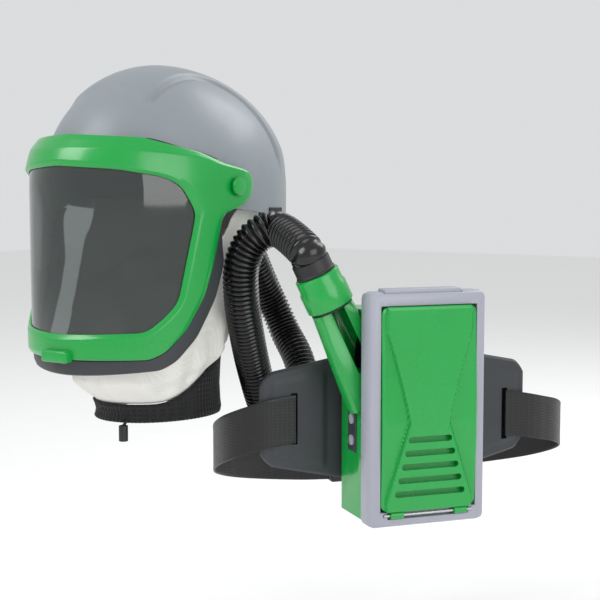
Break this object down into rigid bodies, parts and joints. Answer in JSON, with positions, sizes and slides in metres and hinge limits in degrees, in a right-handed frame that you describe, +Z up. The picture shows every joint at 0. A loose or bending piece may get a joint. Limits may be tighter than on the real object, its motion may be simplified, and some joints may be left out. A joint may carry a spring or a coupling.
{
  "type": "powered air respirator",
  "caption": "Face helmet with a lifting visor, corrugated breathing hose and a belt-worn filter blower with a hinged cover and webbing belt.",
  "frame": {"origin": "the point under the crown strap where the helmet rests on the top of the head", "axes": "+Z up, the helmet faces -Y with its plane of symmetry on YZ; the blower's front is turned 55 degrees from -Y towards +X"},
  "size_m": [0.4679, 0.5327, 0.487],
  "materials": {
    "shell_grey": "satin moulded",
    "green_moulding": "glossy moulded",
    "dark_moulding": "matt moulded",
    "black_moulding": "matt moulded",
    "black_rubber": "matt",
    "clear_lens": "polished clear",
    "white_cloth": "coated woven",
    "black_knit": "rib knit",
    "hose_black": "glossy corrugated",
    "black_webbing": "woven webbing",
    "steel": "turned",
    "circuit_board": "solder mask",
    "filter_media": "pleated fibre",
    "grey_foam": "foam backed"
  },
  "bodies": {
    "root": {"helmet_shell": "shell_grey", "front_frame": "shell_grey", "rear_housing": "green_moulding", "jaw_frame": "dark_moulding", "belt_pad": "dark_moulding", "belt_mount_plate": "dark_moulding", "keypad_panel": "dark_moulding", "air_duct": "dark_moulding", "helmet_inlet": "dark_moulding", "fan_volute": "dark_moulding", "brow_seal": "black_rubber", "filter_seal": "black_rubber", "outlet_seal": "black_rubber", "face_cape": "white_cloth", "neck_cuff": "black_knit", "cuff_toggle": "black_moulding", "rim_clip_left": "black_moulding", "rim_clip_right": "black_moulding", "headband": "black_moulding", "helmet_hose_cuff": "black_moulding", "blower_hose_cuff": "black_moulding", "buckle_socket": "black_moulding", "buckle_plug": "black_moulding", "sweatband": "grey_foam", "belt_pad_liner": "grey_foam", "crown_strap": "black_webbing", "belt_left": "black_webbing", "belt_right": "black_webbing", "breathing_tube": "hose_black", "cover_hinge_pin": "steel", "motor": "steel", "filter_cartridge": "filter_media", "control_board": "circuit_board"},
    "visor": {"visor_bezel": "green_moulding", "visor_lens": "clear_lens", "lens_gasket": "black_rubber", "pivot_cap_left": "green_moulding", "pivot_cap_right": "green_moulding", "pivot_pin_left": "steel", "pivot_pin_right": "steel"},
    "nape": {"nape_band": "black_moulding", "nape_housing": "black_moulding"},
    "knob": {"ratchet_knob": "black_moulding"},
    "cover": {"filter_cover": "green_moulding"},
    "latch": {"cover_latch": "shell_grey"},
    "rotor": {"impeller": "black_moulding", "motor_shaft": "steel"},
    "speed_key": {"speed_button": "shell_grey"},
    "power_key": {"power_button": "shell_grey"},
    "battery": {"battery_pack": "black_moulding"},
    "battery_catch": {"battery_latch": "shell_grey"},
    "collar": {"bayonet_collar": "green_moulding"}
  },
  "joints": [
    {"name": "visor_lift", "type": "hinge", "parent": "root", "child": "visor", "pos_m": [0, -0.024, -0.1], "axis": [-1, 0, 0], "range_deg": [0, 50]},
    {"name": "nape_slide", "type": "slide", "parent": "root", "child": "nape", "axis": [0, -1, 0], "range_m": [0, 0.008]},
    {"name": "ratchet_turn", "type": "hinge", "parent": "nape", "child": "knob", "pos_m": [0, 0.1235, -0.098], "axis": [0, 1, 0], "range_deg": [0, 182]},
    {"name": "cover_open", "type": "hinge", "parent": "root", "child": "cover", "pos_m": [0.304, 0.057, -0.427], "axis": [0.5736, 0.8192, 0], "range_deg": [0, 100]},
    {"name": "latch_press", "type": "slide", "parent": "root", "child": "latch", "axis": [0, 0, -1], "range_m": [0, 0.0015], "stiffness_N_per_m": 800},
    {"name": "impeller_spin", "type": "hinge", "parent": "root", "child": "rotor", "pos_m": [0.26484, 0.07953, -0.283], "axis": [-0.8192, 0.5736, 0], "continuous": true},
    {"name": "speed_press", "type": "slide", "parent": "root", "child": "speed_key", "axis": [0.5736, 0.8192, 0], "range_m": [0, 0.001], "stiffness_N_per_m": 600},
    {"name": "power_press", "type": "slide", "parent": "root", "child": "power_key", "axis": [0.5736, 0.8192, 0], "range_m": [0, 0.001], "stiffness_N_per_m": 600},
    {"name": "battery_slide", "type": "slide", "parent": "root", "child": "battery", "axis": [0, 0, -1], "range_m": [0, 0.07]},
    {"name": "battery_latch_slide", "type": "slide", "parent": "root", "child": "battery_catch", "axis": [0.8192, -0.5736, 0], "range_m": [0, 0.0025], "stiffness_N_per_m": 500},
    {"name": "collar_turn", "type": "hinge", "parent": "root", "child": "collar", "pos_m": [0.21653, 0.01054, -0.21898], "axis": [-0.2514, -0.3591, 0.8988], "range_deg": [0, 35]}
  ],
  "couplings": [
    {"joint": "ratchet_turn", "follows": "nape_slide", "rad_per_m": 392.7}
  ]
}
